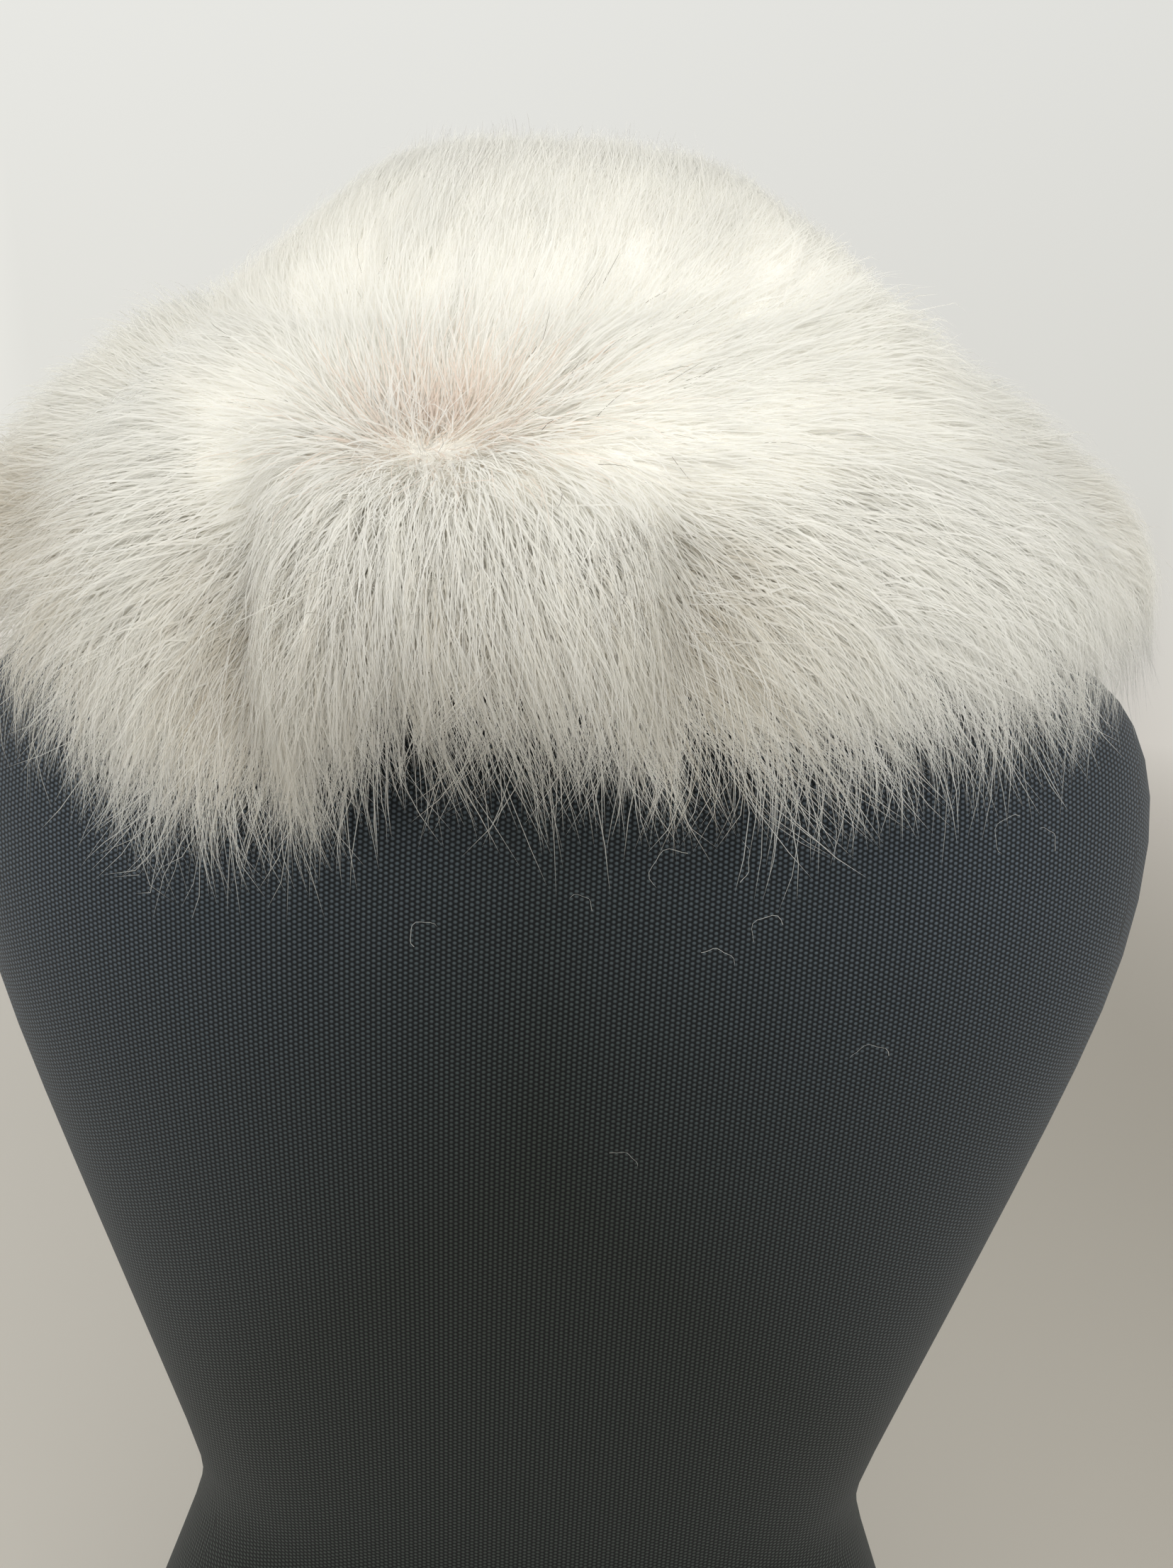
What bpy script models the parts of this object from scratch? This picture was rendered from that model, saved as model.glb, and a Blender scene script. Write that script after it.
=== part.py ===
"""White fox collar wrap worn on a limbless dress form.

Metres, +Z up. The form faces -Y, so its back is towards +Y and its left is +X. The origin is the
middle of the flat base that the form stands on. The collar is two pelts sewn together at the back
of the neck, each a leather wall with the pile of hair standing on it.
"""

import math
import random
from collections import namedtuple

import bmesh
import bpy
from mathutils import Vector
from mathutils.bvhtree import BVHTree

# The dress form, as horizontal rings from the base to the top of the neck.
Ring = namedtuple("Ring", "height half_width back front squareness")
FORM_RINGS = [
    Ring(0.000, 0.1560, 0.1000, 0.0880, 2.2),
    Ring(0.005, 0.1600, 0.1040, 0.0910, 2.2),
    Ring(0.055, 0.1690, 0.1120, 0.0950, 2.2),
    Ring(0.110, 0.1720, 0.1090, 0.0970, 2.2),
    Ring(0.165, 0.1650, 0.0960, 0.0930, 2.2),
    Ring(0.225, 0.1450, 0.0800, 0.0850, 2.2),
    Ring(0.268, 0.1285, 0.0720, 0.0800, 2.2),
    Ring(0.291, 0.1225, 0.0700, 0.0790, 2.2),
    Ring(0.312, 0.1290, 0.0720, 0.0810, 2.2),
    Ring(0.376, 0.1510, 0.0830, 0.0890, 2.2),
    Ring(0.430, 0.1675, 0.0930, 0.0960, 2.3),
    Ring(0.478, 0.1815, 0.1010, 0.0980, 2.4),
    Ring(0.515, 0.1900, 0.1040, 0.0930, 2.5),
    Ring(0.552, 0.1935, 0.1030, 0.0860, 2.5),
    Ring(0.577, 0.1900, 0.0970, 0.0770, 2.4),
    Ring(0.593, 0.1815, 0.0890, 0.0690, 2.3),
    Ring(0.604, 0.1670, 0.0810, 0.0610, 2.2),
    Ring(0.615, 0.1420, 0.0740, 0.0550, 2.1),
    Ring(0.627, 0.1120, 0.0670, 0.0520, 2.0),
    Ring(0.639, 0.0870, 0.0610, 0.0520, 2.0),
    Ring(0.652, 0.0690, 0.0560, 0.0540, 2.0),
    Ring(0.668, 0.0600, 0.0530, 0.0570, 2.0),
    Ring(0.684, 0.0560, 0.0510, 0.0570, 2.0),
    Ring(0.701, 0.0550, 0.0500, 0.0570, 2.0),
    Ring(0.707, 0.0520, 0.0470, 0.0540, 2.0),
]
RING_POINTS = 44
SPARE_RINGS = 6
BUST_ACROSS = 0.080
BUST_HEIGHT = 0.462
BUST_DEPTH = 0.030
BUST_SPREAD = 0.046
NECK_LEAN = 0.006
NECK_FOOT = 0.620
NECK_RISE = 0.060

# The pelts. Angles run from the seam at the back of the neck round to the front edge.
SEAM_TURN = math.radians(12)
SLIP = 0.006
SEAM_GAP = 0.0004
LEATHER = 0.0016
PILE_GAP = 0.0004
CLEARANCE = 0.0025
RESTING_GAP = 0.0003
LEATHER_END = 166.0
FRONT_ROUND = 158.0
PILE_END = 179.0
COLUMNS = 44
ROWS = [0, 0.35, 0.7, 1, 1.4, 1.8, 2.2, 2.6, 3, 3.35, 3.7, 4, 4.25, 4.5, 4.75, 5]

# Sections of a pelt: distance from the neck axis and height of the pile's crest, the leather's top
# edge, its bend at the neck, its middle, its lower edge and the hair tips, and the fullness of the pile.
Section = namedtuple("Section", "angle crest top bend middle edge tip full")
SECTIONS = [
    Section(0, (0.047, 0.731), (0.061, 0.698), (0.066, 0.664), (0.083, 0.632), (0.102, 0.598), (0.112, 0.565), 1.00),
    Section(30, (0.047, 0.731), (0.061, 0.698), (0.067, 0.664), (0.092, 0.632), (0.115, 0.600), (0.126, 0.565), 1.01),
    Section(60, (0.047, 0.730), (0.062, 0.698), (0.071, 0.664), (0.107, 0.633), (0.141, 0.609), (0.161, 0.576), 1.01),
    Section(90, (0.047, 0.728), (0.062, 0.696), (0.074, 0.661), (0.118, 0.633), (0.155, 0.616), (0.184, 0.600), 1.00),
    Section(115, (0.054, 0.722), (0.066, 0.689), (0.078, 0.650), (0.116, 0.616), (0.149, 0.587), (0.170, 0.552), 0.97),
    Section(135, (0.064, 0.712), (0.073, 0.679), (0.082, 0.636), (0.105, 0.588), (0.139, 0.527), (0.154, 0.488), 0.94),
    Section(150, (0.070, 0.698), (0.076, 0.665), (0.084, 0.616), (0.109, 0.552), (0.148, 0.474), (0.155, 0.432), 0.92),
    Section(165, (0.073, 0.676), (0.079, 0.645), (0.086, 0.598), (0.105, 0.535), (0.126, 0.450), (0.131, 0.408), 0.90),
    Section(179, (0.074, 0.646), (0.079, 0.616), (0.086, 0.576), (0.104, 0.530), (0.119, 0.474), (0.124, 0.436), 0.88),
]
CREST, TOP, BEND, MIDDLE, EDGE, TIP = range(6)
PILE_DEPTHS = [0.012, 0.029, 0.046, 0.048, 0.039, 0.0025]
OWN_SLOPE_SHARE = 0.4
CREST_LIFT = 0.9
FRONT_EDGE_SHARE = 0.10

# The tips hang lower on the wearer's left and higher over the right shoulder's end.
Hang = namedtuple("Hang", "angle left right")
HEM_HANG = [
    Hang(0, 0.000, 0.000),
    Hang(24, -0.020, 0.000),
    Hang(45, -0.012, -0.004),
    Hang(65, -0.012, 0.004),
    Hang(90, -0.010, 0.004),
    Hang(120, 0.000, 0.000),
    Hang(179, 0.000, 0.000),
]

# Folds of the pile on each pelt, from one place to another: valleys take depth away and swells add it.
Fold = namedtuple("Fold", "side angle start end depth spread")
FOLDS = [
    Fold(1, 0, 2.6, 4.8, 0.006, 12.0),
    Fold(1, 19, 3.0, 4.9, -0.017, 5.0),
    Fold(1, 52, 1.6, 4.4, -0.008, 6.0),
    Fold(1, 75, 0.6, 4.0, 0.010, 14.0),
    Fold(1, 93, 1.2, 4.2, -0.009, 5.5),
    Fold(1, 124, 1.5, 4.5, -0.009, 5.0),
    Fold(1, 153, 2.0, 4.8, -0.008, 4.0),
    Fold(-1, 0, 2.6, 4.8, 0.006, 16.0),
    Fold(-1, 27, 3.0, 4.9, -0.018, 5.0),
    Fold(-1, 58, 0.6, 2.8, 0.009, 11.0),
    Fold(-1, 66, 2.2, 4.6, -0.007, 6.5),
    Fold(-1, 95, 1.2, 4.4, -0.009, 7.0),
    Fold(-1, 86, 2.8, 5.0, -0.007, 14.0),
    Fold(-1, 128, 1.5, 4.5, -0.009, 5.5),
    Fold(-1, 157, 2.0, 4.8, -0.008, 4.0),
]
PARTING_AT = 2.70
PARTING_DEPTH = 0.15
PARTING_SPREAD = (0.45, 11.0)

# Locks: one to each column of points, in turn raised and long, or sunk and short.
LOCK_RELIEF = 0.0022
LOCK_UNEVENNESS = 0.0012
LEAST_PILE = 0.0020
SHORT_LOCK = 0.70
REACH_UNEVENNESS = 0.16
FAN = 9.0
FAN_FROM = 2.45


def hermite(knots, values, at):
    """A smooth curve through values at knots, read at one place."""
    last = len(knots) - 2
    i = min(max(sum(knot <= at for knot in knots) - 1, 0), last)

    def slope(j):
        before, after = max(j - 1, 0), min(j + 1, last + 1)
        return (values[after] - values[before]) / (knots[after] - knots[before])

    span = knots[i + 1] - knots[i]
    t = (at - knots[i]) / span
    a, b = values[i], values[i + 1]
    ta, tb = slope(i) * span, slope(i + 1) * span
    return a * (2 * t**3 - 3 * t**2 + 1) + ta * (t**3 - 2 * t**2 + t) + b * (3 * t**2 - 2 * t**3) + tb * (t**3 - t**2)


def read_rows(rows, key, name, at):
    """The named column of a table, read smoothly at a value of its key column."""
    return hermite([getattr(row, key) for row in rows], [getattr(row, name) for row in rows], at)


def finish_solid(name, bm, collection, material):
    """Turns the faces outwards and makes the object."""
    bmesh.ops.recalc_face_normals(bm, faces=bm.faces)
    mesh = bpy.data.meshes.new(name)
    bm.to_mesh(mesh)
    bm.free()
    mesh.materials.append(material)
    mesh.shade_smooth()
    obj = bpy.data.objects.new(name, mesh)
    collection.objects.link(obj)
    return obj


def make_material(name, colour, roughness):
    material = bpy.data.materials.new(name)
    material.use_nodes = True
    shader = material.node_tree.nodes["Principled BSDF"]
    shader.inputs["Base Color"].default_value = (*colour, 1.0)
    shader.inputs["Roughness"].default_value = roughness
    material.diffuse_color = (*colour, 1.0)
    return material


# Dress form.


def form_ring(place):
    """The points of the form's ring at a place counted along FORM_RINGS."""
    places = list(range(len(FORM_RINGS)))
    height, half_width, back, front, squareness = (
        hermite(places, [ring[column] for ring in FORM_RINGS], place) for column in range(5)
    )
    forward = NECK_LEAN * min(max((height - NECK_FOOT) / NECK_RISE, 0.0), 1.0)
    points = []
    for i in range(RING_POINTS):
        turn = 2 * math.pi * i / RING_POINTS
        across, along = math.cos(turn), math.sin(turn)
        x = half_width * math.copysign(abs(across) ** (2 / squareness), across)
        depth = back if along > 0 else front
        y = depth * math.copysign(abs(along) ** (2 / squareness), along) - forward
        if along < 0:
            from_apex = ((abs(x) - BUST_ACROSS) / BUST_SPREAD) ** 2 + ((height - BUST_HEIGHT) / BUST_SPREAD) ** 2
            y -= BUST_DEPTH * math.exp(-from_apex) * min(1.0, 2.5 * abs(along))
        points.append(Vector((x, y, height)))
    return points


def make_form(collection, material):
    bm = bmesh.new()
    last = len(FORM_RINGS) - 1
    places = list(range(last + 1)) + [i + 0.5 for i in range(last - SPARE_RINGS, last - 1)]
    rings = [[bm.verts.new(p) for p in form_ring(place)] for place in sorted(places)]
    for low, high in zip(rings, rings[1:]):
        for i in range(RING_POINTS):
            j = (i + 1) % RING_POINTS
            bm.faces.new((low[i], low[j], high[j], high[i]))
    bm.faces.new(rings[0][::-1])
    bm.faces.new(rings[-1])
    return finish_solid("form_body", bm, collection, material)


# Collar.


def meridian(side, angle, place):
    """Distance from the neck axis and height at a place, 0 at the crest to 5 at the tips."""
    stations = list(range(6))
    names = Section._fields[1:7]
    angles = [section.angle for section in SECTIONS]
    found = []
    for axis in range(2):
        at_stations = [hermite(angles, [getattr(s, name)[axis] for s in SECTIONS], angle) for name in names]
        found.append(hermite(stations, at_stations, place))
    hang = read_rows(HEM_HANG, "angle", "left" if side > 0 else "right", angle)
    found[1] += hang * max(0.0, (place - MIDDLE) / (TIP - MIDDLE)) ** 1.2
    return found


def world_angle(side, angle):
    """The pelts are turned on the neck at the back, and even at the front."""
    a = math.radians(angle)
    return side * a + SEAM_TURN * (0.5 + 0.5 * math.cos(a))


def base_point(side, angle, place, form_tree):
    """A point of the leather's inner face, or its run-on under the hair, kept clear of the form."""
    distance, height = meridian(side, angle, place)
    a = world_angle(side, angle)
    slip = SLIP * (0.5 + 0.5 * math.cos(math.radians(angle)))
    point = Vector((distance * math.sin(a) + slip, distance * math.cos(a), height))
    for _ in range(3):
        near, normal, _, _ = form_tree.find_nearest(point)
        clear = (point - near).dot(normal)
        if clear >= CLEARANCE:
            break
        point += normal * (CLEARANCE - clear)
    return point


def pile_direction(side, angle, place):
    """The way that the hair's mass stands off the leather, in the section's own plane."""

    def across(a, b):
        (r0, z0), (r1, z1) = meridian(side, angle, a), meridian(side, angle, b)
        length = math.hypot(r1 - r0, z1 - z0)
        return (z0 - z1) / length, (r1 - r0) / length

    here = across(max(place - 0.25, CREST), min(place + 0.25, TIP))
    whole = across(TOP, EDGE)
    out, up = (OWN_SLOPE_SHARE * own + (1 - OWN_SLOPE_SHARE) * all_over for own, all_over in zip(here, whole))
    up += CREST_LIFT * max(0.0, TOP - place) ** 2
    length = math.hypot(out, up)
    a = world_angle(side, angle)
    return Vector((math.sin(a) * out, math.cos(a) * out, up)) / length


def pile_depth(side, angle, place):
    """How far the hair stands off the leather at a place, with the front edge rounded."""
    depth = hermite(range(6), PILE_DEPTHS, place) * read_rows(SECTIONS, "angle", "full", angle)
    if angle > FRONT_ROUND:
        rounded = math.sqrt(max(0.0, 1 - ((angle - FRONT_ROUND) / (PILE_END - FRONT_ROUND)) ** 2))
        depth *= FRONT_EDGE_SHARE + (1 - FRONT_EDGE_SHARE) * rounded
    parting = ((place - PARTING_AT) / PARTING_SPREAD[0]) ** 2 + (angle / PARTING_SPREAD[1]) ** 2
    depth *= 1 - PARTING_DEPTH * math.exp(-parting)
    for fold in FOLDS:
        if fold.side == side and fold.start < place < fold.end:
            along = math.sin(math.pi * (place - fold.start) / (fold.end - fold.start))
            depth += fold.depth * along * math.exp(-(((angle - fold.angle) / fold.spread) ** 2))
    return depth


def lock_lengths(side):
    """Each column's reach at the hem and crest: locks in turn long and short, unevenly."""
    chance = random.Random(11 if side > 0 else 23)
    return [(SHORT_LOCK if c % 2 else 1.0) - chance.uniform(0, REACH_UNEVENNESS) for c in range(COLUMNS + 1)]


def lock_place(place, reach):
    """Draws the rows past the leather's edges back by a lock's own reach."""
    if place > EDGE:
        return EDGE + (place - EDGE) * reach
    if place < TOP:
        return TOP - (TOP - place) * (0.6 + 0.4 * reach)
    return place


def column_angle(column, place):
    """The columns fan outwards from the parting, as the hair does."""
    share = column / COLUMNS
    return PILE_END * share + FAN * math.sin(math.pi * share) * (place - FAN_FROM) / TIP


def across_at(turn):
    """The level direction at right angles to a section."""
    return Vector((math.cos(turn), -math.sin(turn), 0))


def base_grid(side, form_tree):
    """The leather's inner face and its run-on, as rows of (angle, place, point)."""
    reaches = lock_lengths(side)
    grid = []
    for row_place in ROWS:
        row = []
        for column in range(COLUMNS + 1):
            place = lock_place(row_place, reaches[column])
            angle = column_angle(column, place)
            point = base_point(side, angle, place, form_tree) + across_at(SEAM_TURN) * (side * SEAM_GAP / 2)
            row.append((angle, place, point))
        grid.append(row)
    return grid


def settle(grids, form, form_tree):
    """Lowers the whole collar until its leather rests on the form's shoulders."""
    down, up = Vector((0, 0, -1)), Vector((0, 0, 1))
    first, last = ROWS.index(TOP), ROWS.index(EDGE)
    drops = []
    for grid in grids:
        sheet = [[point for _, _, point in row] for row in grid[first : last + 1]]
        width = len(sheet[0])
        faces = []
        for r in range(len(sheet) - 1):
            for c in range(width - 1):
                corner = r * width + c
                faces.append((corner, corner + 1, corner + width + 1))
                faces.append((corner, corner + width + 1, corner + width))
        points = [point for row in sheet for point in row]
        sheet_tree = BVHTree.FromPolygons(points, faces)
        found = [form_tree.ray_cast(point, down) for point in points]
        found += [sheet_tree.ray_cast(vertex.co, up) for vertex in form.data.vertices]
        drops += [hit[3] for hit in found if hit[3] is not None]
    drop = down * (min(drops) - RESTING_GAP)
    return [[[(angle, place, point + drop) for angle, place, point in row] for row in grid] for grid in grids]


def outward(grid, side):
    """The grid's normals, each from its neighbours, kept in the seam's plane along the seam."""
    normals = []
    for r, row in enumerate(grid):
        above, below = grid[max(r - 1, 0)], grid[min(r + 1, len(grid) - 1)]
        line = []
        for c in range(len(row)):
            before, after = row[max(c - 1, 0)], row[min(c + 1, len(row) - 1)]
            normal = (after[2] - before[2]).cross(below[c][2] - above[c][2]) * side
            if c in (0, COLUMNS):
                level = across_at(world_angle(side, row[c][0]))
                normal -= level * normal.dot(level)
            line.append(normal.normalized())
        normals.append(line)
    return normals


def wall_between(name, inner, outer, collection, material):
    """A closed wall between two grids of points that match one to one."""
    bm = bmesh.new()
    inside = [[bm.verts.new(p) for p in row] for row in inner]
    outside = [[bm.verts.new(p) for p in row] for row in outer]
    for sheet in (inside, outside):
        for upper, lower in zip(sheet, sheet[1:]):
            for i in range(len(upper) - 1):
                bm.faces.new((upper[i], upper[i + 1], lower[i + 1]))
                bm.faces.new((upper[i], lower[i + 1], lower[i]))
    last = len(inner[0]) - 1
    borders = [
        (inside[0], outside[0]),
        (inside[-1], outside[-1]),
        ([row[0] for row in inside], [row[0] for row in outside]),
        ([row[last] for row in inside], [row[last] for row in outside]),
    ]
    for near, far in borders:
        for i in range(len(near) - 1):
            bm.faces.new((near[i], near[i + 1], far[i + 1]))
            bm.faces.new((near[i], far[i + 1], far[i]))
    return finish_solid(name, bm, collection, material)


def make_leather(name, grid, normals, collection, material):
    """The pelt's leather, a wall from its top edge to its lower edge that stops short of the front hair."""
    first, last = ROWS.index(TOP), ROWS.index(EDGE)
    width = sum(column_angle(column, MIDDLE) <= LEATHER_END for column in range(COLUMNS + 1))
    inner = [[point for _, _, point in row[:width]] for row in grid[first : last + 1]]
    outer = [
        [point + normal * LEATHER for point, normal in zip(line, facing)]
        for line, facing in zip(inner, normals[first : last + 1])
    ]
    return wall_between(name, inner, outer, collection, material)


def make_pile(name, side, grid, normals, collection, material):
    """The mass of hair: an inner face laid on the leather and an outer face in locks."""
    chance = random.Random(5 if side > 0 else 7)
    inner, outer = [], []
    for r, row in enumerate(grid):
        near, far = [], []
        for c, (angle, place, point) in enumerate(row):
            ridge = LOCK_RELIEF if c % 2 == 0 else -LOCK_RELIEF
            ridge = ridge * min(1.0, place / BEND) + chance.uniform(-LOCK_UNEVENNESS, LOCK_UNEVENNESS)
            if r == 0 or c in (0, COLUMNS):
                ridge = 0.0
            depth = max(pile_depth(side, angle, place) + ridge, LEAST_PILE)
            start = point + normals[r][c] * (LEATHER + PILE_GAP)
            near.append(start)
            far.append(start + pile_direction(side, angle, place) * depth)
        inner.append(near)
        outer.append(far)
    return wall_between(name, inner, outer, collection, material)


def main():
    for obj in list(bpy.data.objects):
        bpy.data.objects.remove(obj)
    collection = bpy.data.collections.new("fur_collar_wrap_on_form")
    bpy.context.scene.collection.children.link(collection)
    jersey = make_material("slate_jersey", (0.035, 0.043, 0.045), 0.85)
    suede = make_material("cream_suede", (0.72, 0.62, 0.50), 0.80)
    fur = make_material("white_fox_fur", (0.86, 0.84, 0.77), 0.60)

    form = make_form(collection, jersey)
    bpy.context.view_layer.update()
    form_tree = BVHTree.FromObject(form, bpy.context.evaluated_depsgraph_get())
    grids = settle([base_grid(side, form_tree) for side in (1, -1)], form, form_tree)
    for side, word, grid in ((1, "left", grids[0]), (-1, "right", grids[1])):
        normals = outward(grid, side)
        make_leather("leather_" + word, grid, normals, collection, suede)
        make_pile("fur_" + word, side, grid, normals, collection, fur)


main()
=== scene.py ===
"""White fox collar wrap worn on a limbless dress form, seen from behind and a little above.

Metres, +Z up. The form faces -Y, so its back is towards +Y and its left is +X.
"""

import math
from collections import namedtuple

import bmesh
import bpy
import numpy as np
from mathutils import Matrix, Vector
from mathutils.bvhtree import BVHTree


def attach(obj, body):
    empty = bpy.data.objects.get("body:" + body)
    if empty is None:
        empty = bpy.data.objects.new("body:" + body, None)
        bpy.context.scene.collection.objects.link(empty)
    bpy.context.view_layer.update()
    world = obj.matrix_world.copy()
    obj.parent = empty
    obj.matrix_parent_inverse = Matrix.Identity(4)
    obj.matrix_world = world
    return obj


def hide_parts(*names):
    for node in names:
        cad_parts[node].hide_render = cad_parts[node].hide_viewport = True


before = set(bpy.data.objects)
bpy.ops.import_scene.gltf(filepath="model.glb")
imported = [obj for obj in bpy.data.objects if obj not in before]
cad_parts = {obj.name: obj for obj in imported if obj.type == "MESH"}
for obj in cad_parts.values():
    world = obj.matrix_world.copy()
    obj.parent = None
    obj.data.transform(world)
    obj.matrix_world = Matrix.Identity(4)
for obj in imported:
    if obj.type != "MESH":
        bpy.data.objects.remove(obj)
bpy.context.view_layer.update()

# Camera
# A phone held close behind the neck, tipped down and turned a little, as the photo was taken.

CAMERA_PLACE = Vector((-0.009, 0.395, 0.633))
CAMERA_PITCH = math.radians(11.5)
CAMERA_ROLL = math.radians(2.7)
CAMERA_LENS = 27
CAMERA_SENSOR = 36

ahead = Vector((0, -math.cos(CAMERA_PITCH), -math.sin(CAMERA_PITCH)))
level_right = ahead.cross(Vector((0, 0, 1))).normalized()
level_up = level_right.cross(ahead)
camera_right = level_right * math.cos(CAMERA_ROLL) + level_up * math.sin(CAMERA_ROLL)
camera_up = level_up * math.cos(CAMERA_ROLL) - level_right * math.sin(CAMERA_ROLL)
camera_data = bpy.data.cameras.new("camera")
camera_data.lens = CAMERA_LENS
camera_data.sensor_width = CAMERA_SENSOR
camera_data.clip_start = 0.01
camera = bpy.data.objects.new("camera", camera_data)
bpy.context.scene.collection.objects.link(camera)
camera_axes = Matrix((camera_right, camera_up, -ahead)).transposed().to_4x4()
camera.matrix_world = Matrix.Translation(CAMERA_PLACE) @ camera_axes
bpy.context.scene.camera = camera

# Dress form
# A padded torso with a neck and rounded arm caps, covered in one tight layer of slate cotton jersey.
# It stands on its own flat base.

STITCH = (0.00284, 0.0014)
# Painted light and shade on the stitches: the dark colours are the hollows between loops in shade, the light
# ones the lit loops.
JERSEY_HOLLOW_PAINTED_SHADE = "#030404"
JERSEY_LOOP_PAINTED_LIGHT = "#303833"
# The side colours are painted light: the jersey turns paler and bluer high up and out to the sides, where
# more light falls.
JERSEY_SIDE_PAINTED_LIGHT_LOOPS = "#505A64"
JERSEY_SIDE_PAINTED_LIGHT_HOLLOW_SHADE = "#15191D"
LOOP_HEIGHT = 0.5
FUZZ_HEIGHT = 0.3
RELIEF_TO_PAINTED_LIGHT = (0.22, 0.9)
PAINTED_LIGHT_HIGH_AND_OUT = (0.42, 0.62)
PAINTED_LIGHT_HEIGHT_SHARE = 0.9
FORM_SIDE = (0.735, 0.745)


def colour(code):
    """An sRGB hex value as linear red, green, blue and alpha."""
    parts = [int(code[i : i + 2], 16) / 255 for i in (1, 3, 5)]
    return (*(p / 12.92 if p <= 0.04045 else ((p + 0.055) / 1.055) ** 2.4 for p in parts), 1.0)


def add_node(tree, kind, settings=None, **links):
    """Adds a node, sets its properties and inputs, and links inputs to other nodes' outputs."""
    node = tree.nodes.new(kind)
    for name, value in (settings or {}).items():
        if name in node.bl_rna.properties:
            setattr(node, name, value)
        else:
            node.inputs[int(name) if name.isdigit() else name].default_value = value
    for name, source in links.items():
        socket = node.inputs[int(name[1:])] if name[1:].isdigit() else node.inputs[name.replace("_", " ")]
        tree.links.new(source, socket)
    return node


def maths(tree, operation, *sources):
    """The result of a math node, from outputs and numbers in the order of its inputs."""
    node = add_node(tree, "ShaderNodeMath", {"operation": operation})
    for socket, source in zip(node.inputs, sources):
        if isinstance(source, (int, float)):
            socket.default_value = source
        else:
            tree.links.new(source, socket)
    return node.outputs[0]


def carry_over(tree, value, before, after=(0.0, 1.0)):
    """A value carried from one range to another and held at its ends."""
    node = add_node(tree, "ShaderNodeMapRange", _0=value)
    for index, number in enumerate((*before, *after), start=1):
        node.inputs[index].default_value = number
    return node.outputs[0]


def mix_colours(tree, share, first, second, blend="MIX"):
    """Two colours mixed by a share, each of them an output or an sRGB hex value."""
    node = add_node(tree, "ShaderNodeMix", {"data_type": "RGBA", "blend_type": blend}, _0=share)
    for index, source in ((6, first), (7, second)):
        if isinstance(source, str):
            node.inputs[index].default_value = colour(source)
        else:
            tree.links.new(source, node.inputs[index])
    return node.outputs[2]


def colour_ramp(tree, share, stops):
    """The result of a colour ramp, with stops as pairs of a position and an sRGB hex value."""
    node = add_node(tree, "ShaderNodeValToRGB", _0=share)
    elements = node.color_ramp.elements
    for index, (at, code) in enumerate(stops):
        stop = elements[index] if index < 2 else elements.new(at)
        stop.position, stop.color = at, colour(code)
    return node.outputs[0]


def noise(tree, place, scale, detail):
    node = add_node(tree, "ShaderNodeTexNoise", {"Scale": scale, "Detail": detail}, Vector=place)
    return node.outputs["Fac"]


def lay_surface(tree, shader, base, height, strength, distance):
    """Gives a shader its colour and a bump from a height, of a strength and a distance in metres."""
    tree.links.new(base, shader.inputs["Base Color"])
    bump = add_node(tree, "ShaderNodeBump", {"Strength": strength, "Distance": distance}, Height=height)
    tree.links.new(bump.outputs[0], shader.inputs["Normal"])


def set_inputs(shader, **values):
    """Sets a shader's inputs, with their names' spaces written as underscores."""
    for name, value in values.items():
        shader.inputs[name.replace("_", " ")].default_value = value


def new_material(name):
    material = bpy.data.materials.new(name)
    material.use_nodes = True
    tree = material.node_tree
    return material, tree, tree.nodes["Principled BSDF"]


def copy_node(node, name):
    """A merged copy of a CAD node, selected and active on its own."""
    bpy.ops.object.select_all(action="DESELECT")
    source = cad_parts[node]
    copied = bpy.data.objects.new(name, source.data.copy())
    bpy.context.scene.collection.objects.link(copied)
    copied.data.materials.clear()
    bpy.context.view_layer.objects.active = copied
    copied.select_set(True)
    bpy.ops.object.mode_set(mode="EDIT")
    bpy.ops.mesh.select_all(action="SELECT")
    bpy.ops.mesh.remove_doubles(threshold=0.00001)
    bpy.ops.object.mode_set(mode="OBJECT")
    return copied


torso = copy_node("form_body", "torso_jersey")
bpy.ops.object.mode_set(mode="EDIT")
bpy.ops.mesh.tris_convert_to_quads(face_threshold=math.radians(50), shape_threshold=math.radians(60))
bpy.ops.object.mode_set(mode="OBJECT")
rounding = torso.modifiers.new("rounding", "SUBSURF")
rounding.levels = rounding.render_levels = 1
bpy.ops.object.modifier_apply(modifier="rounding")
bpy.ops.object.shade_smooth()

# The stitches are small loops in columns 1.4 mm apart, and each column is half a stitch off the next.
# On the form's sides the columns are counted from back to front, and elsewhere from side to side.
# High up and out to the sides the jersey is painted paler and bluer than in the middle, painted light where
# more light falls on it.
jersey, tree, shader = new_material("slate_cotton_jersey")
coordinates = add_node(tree, "ShaderNodeTexCoord").outputs
place = coordinates["Object"]
x, y, z = add_node(tree, "ShaderNodeSeparateXYZ", _0=place).outputs
across_wave, along_wave, row_wave = (
    maths(tree, "SINE", maths(tree, "MULTIPLY", axis, math.tau / spacing))
    for axis, spacing in ((x, STITCH[0]), (y, STITCH[0]), (z, STITCH[1]))
)
facing_x = add_node(tree, "ShaderNodeSeparateXYZ", _0=coordinates["Normal"]).outputs[0]
on_side = carry_over(tree, maths(tree, "ABSOLUTE", facing_x), FORM_SIDE)
columns = add_node(tree, "ShaderNodeMix", _0=on_side, _2=across_wave, _3=along_wave).outputs[0]
loops = maths(tree, "MULTIPLY", columns, maths(tree, "ADD", columns, row_wave))
fuzz = noise(tree, place, 900.0, 2.0)
relief = maths(tree, "MULTIPLY_ADD", fuzz, FUZZ_HEIGHT, maths(tree, "MULTIPLY", loops, LOOP_HEIGHT))
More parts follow.
